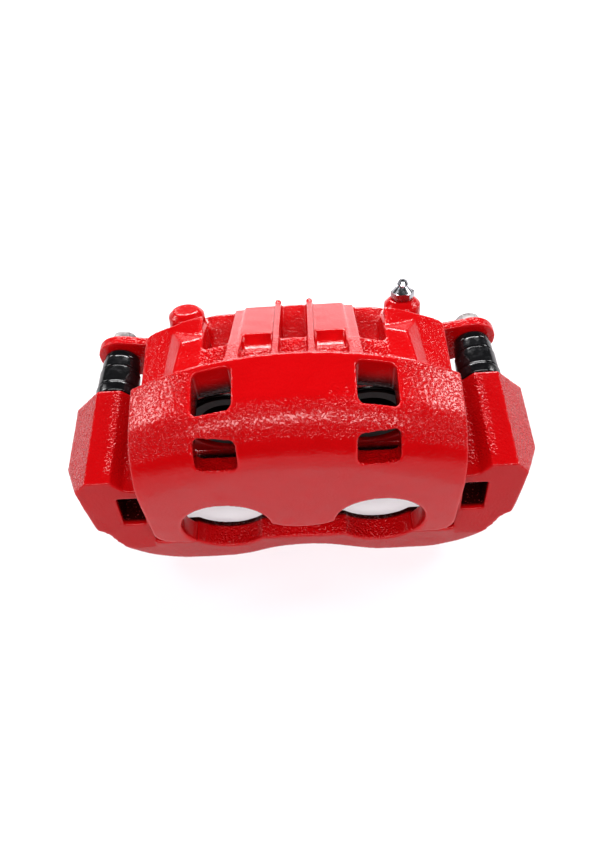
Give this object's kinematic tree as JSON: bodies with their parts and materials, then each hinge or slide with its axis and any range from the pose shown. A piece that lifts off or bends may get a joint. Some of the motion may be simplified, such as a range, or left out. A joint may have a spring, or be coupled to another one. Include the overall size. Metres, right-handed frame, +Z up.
{
  "type": "sliding brake caliper",
  "caption": "Twin-piston sliding brake caliper on its carrier bracket, with guide pins, rubber boots and a bleeder screw, ready to bolt to a steering knuckle.",
  "frame": {"origin": "under the middle of the assembly's box, on the plane that the bracket stands on", "axes": "+X across the caliper to the bleeder's side, +Y from the outboard fingers to the inboard cylinders along the pistons' axes, +Z up, away from the wheel's hub"},
  "size_m": [0.237, 0.123, 0.12],
  "materials": {
    "caliper_red": "glossy powder coat over rough casting",
    "bracket_red": "glossy powder coat over rough casting",
    "piston_phenolic": "moulded phenolic, ground outside",
    "pin_steel": "ground, zinc plated",
    "bolt_steel": "bright zinc",
    "bleeder_steel": "bright zinc",
    "ring_steel": "plain spring steel",
    "boot_rubber": "glossy moulded rubber",
    "seal_rubber": "matt rubber"
  },
  "bodies": {
    "bracket": {"bracket": "bracket_red", "guide_pin_boot_left": "boot_rubber", "guide_pin_boot_right": "boot_rubber"},
    "caliper": {"caliper_housing": "caliper_red", "piston_seal_left": "seal_rubber", "piston_seal_right": "seal_rubber", "piston_dust_boot_left": "boot_rubber", "piston_dust_boot_right": "boot_rubber", "boot_retaining_ring_left": "ring_steel", "boot_retaining_ring_right": "ring_steel", "guide_pin_left": "pin_steel", "guide_pin_right": "pin_steel", "guide_pin_bushing": "seal_rubber", "guide_pin_bolt_left": "bolt_steel", "guide_pin_bolt_right": "bolt_steel"},
    "piston_left": {"piston_left": "piston_phenolic"},
    "piston_right": {"piston_right": "piston_phenolic"},
    "bleeder": {"bleeder_screw": "bleeder_steel"}
  },
  "joints": [
    {"name": "caliper_slide", "type": "slide", "parent": "bracket", "child": "caliper", "axis": [0, 1, 0], "range_m": [-0.001, 0.016], "deforming": ["guide_pin_boot_left", "guide_pin_boot_right"]},
    {"name": "piston_left_slide", "type": "slide", "parent": "caliper", "child": "piston_left", "axis": [0, -1, 0], "range_m": [0, 0.02], "deforming": ["piston_dust_boot_left"]},
    {"name": "piston_right_slide", "type": "slide", "parent": "caliper", "child": "piston_right", "axis": [0, -1, 0], "range_m": [0, 0.02], "deforming": ["piston_dust_boot_right"]},
    {"name": "bleeder_turn", "type": "hinge", "parent": "caliper", "child": "bleeder", "pos_m": [0.059, 0.0525, 0.074], "axis": [0, 0.342, 0.9397], "range_deg": [0, 90]}
  ]
}
